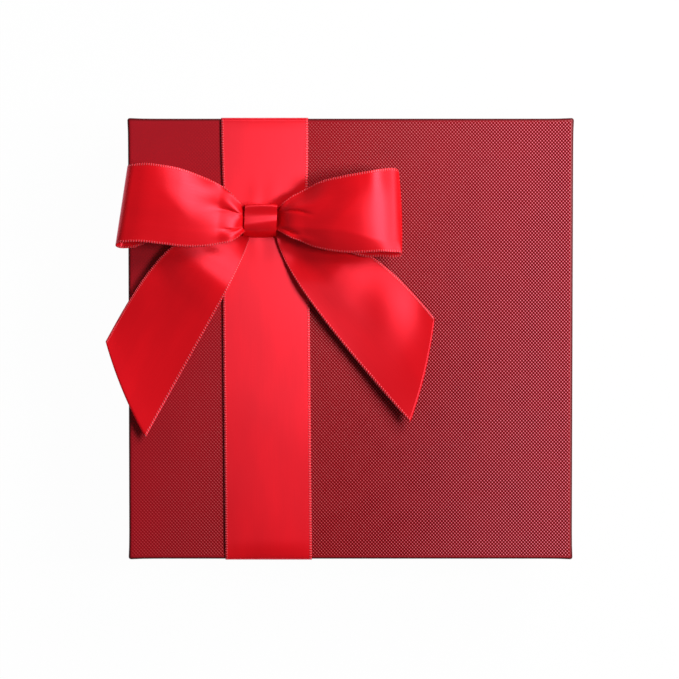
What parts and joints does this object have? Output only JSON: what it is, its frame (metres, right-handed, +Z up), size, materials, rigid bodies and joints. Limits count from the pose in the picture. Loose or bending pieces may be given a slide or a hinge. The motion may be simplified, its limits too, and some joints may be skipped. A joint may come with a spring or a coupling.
{
  "type": "gift_chocolate_box",
  "caption": "Square dark red gift box of chocolates with an embossed paper wrap, a lift-off lid, and a bright red satin ribbon tied in a bow.",
  "frame": {"origin": "centre of the underside of the base", "axes": "+Z up out of the lid, +Y to the back of the box, +X to the right as seen from the front"},
  "size_m": [0.1355, 0.1276, 0.0467],
  "materials": {
    "embossed_paper": "matte",
    "greyboard": "matte",
    "stay_tape": "matte",
    "lining_paper": "matte",
    "bottom_paper": "matte",
    "pad_paper": "matte",
    "divider_card": "matte",
    "cup_paper": "satin",
    "satin_ribbon": "satin",
    "dark_chocolate": "satin",
    "milk_chocolate": "satin",
    "ruby_chocolate": "satin"
  },
  "bodies": {
    "base": {"base_board": "greyboard", "base_corner_stays": "stay_tape", "base_wrap": "embossed_paper", "base_bottom_sheet": "bottom_paper", "base_liner": "lining_paper", "divider_long_1": "divider_card", "divider_long_2": "divider_card", "divider_cross_1": "divider_card", "divider_cross_2": "divider_card", "candy_cup_1": "cup_paper", "candy_cup_2": "cup_paper", "candy_cup_3": "cup_paper", "candy_cup_4": "cup_paper", "candy_cup_5": "cup_paper", "candy_cup_6": "cup_paper", "candy_cup_7": "cup_paper", "candy_cup_8": "cup_paper", "candy_cup_9": "cup_paper", "chocolate_square_1": "dark_chocolate", "chocolate_square_2": "milk_chocolate", "chocolate_square_3": "milk_chocolate", "chocolate_square_4": "dark_chocolate", "chocolate_fluted_1": "milk_chocolate", "chocolate_fluted_2": "dark_chocolate", "chocolate_gem_1": "dark_chocolate", "chocolate_gem_2": "milk_chocolate", "chocolate_heart": "ruby_chocolate"},
    "lid": {"lid_board": "greyboard", "lid_corner_stays": "stay_tape", "lid_wrap": "embossed_paper", "lid_liner": "lining_paper", "lid_cushion_pad": "pad_paper", "ribbon_band": "satin_ribbon", "bow_left_loop": "satin_ribbon", "bow_right_loop": "satin_ribbon", "bow_left_tail": "satin_ribbon", "bow_right_tail": "satin_ribbon", "bow_knot": "satin_ribbon"}
  },
  "joints": [
    {"name": "lid_lift", "type": "slide", "parent": "base", "child": "lid", "axis": [0, 0, 1], "range_m": [0, 0.09]}
  ]
}
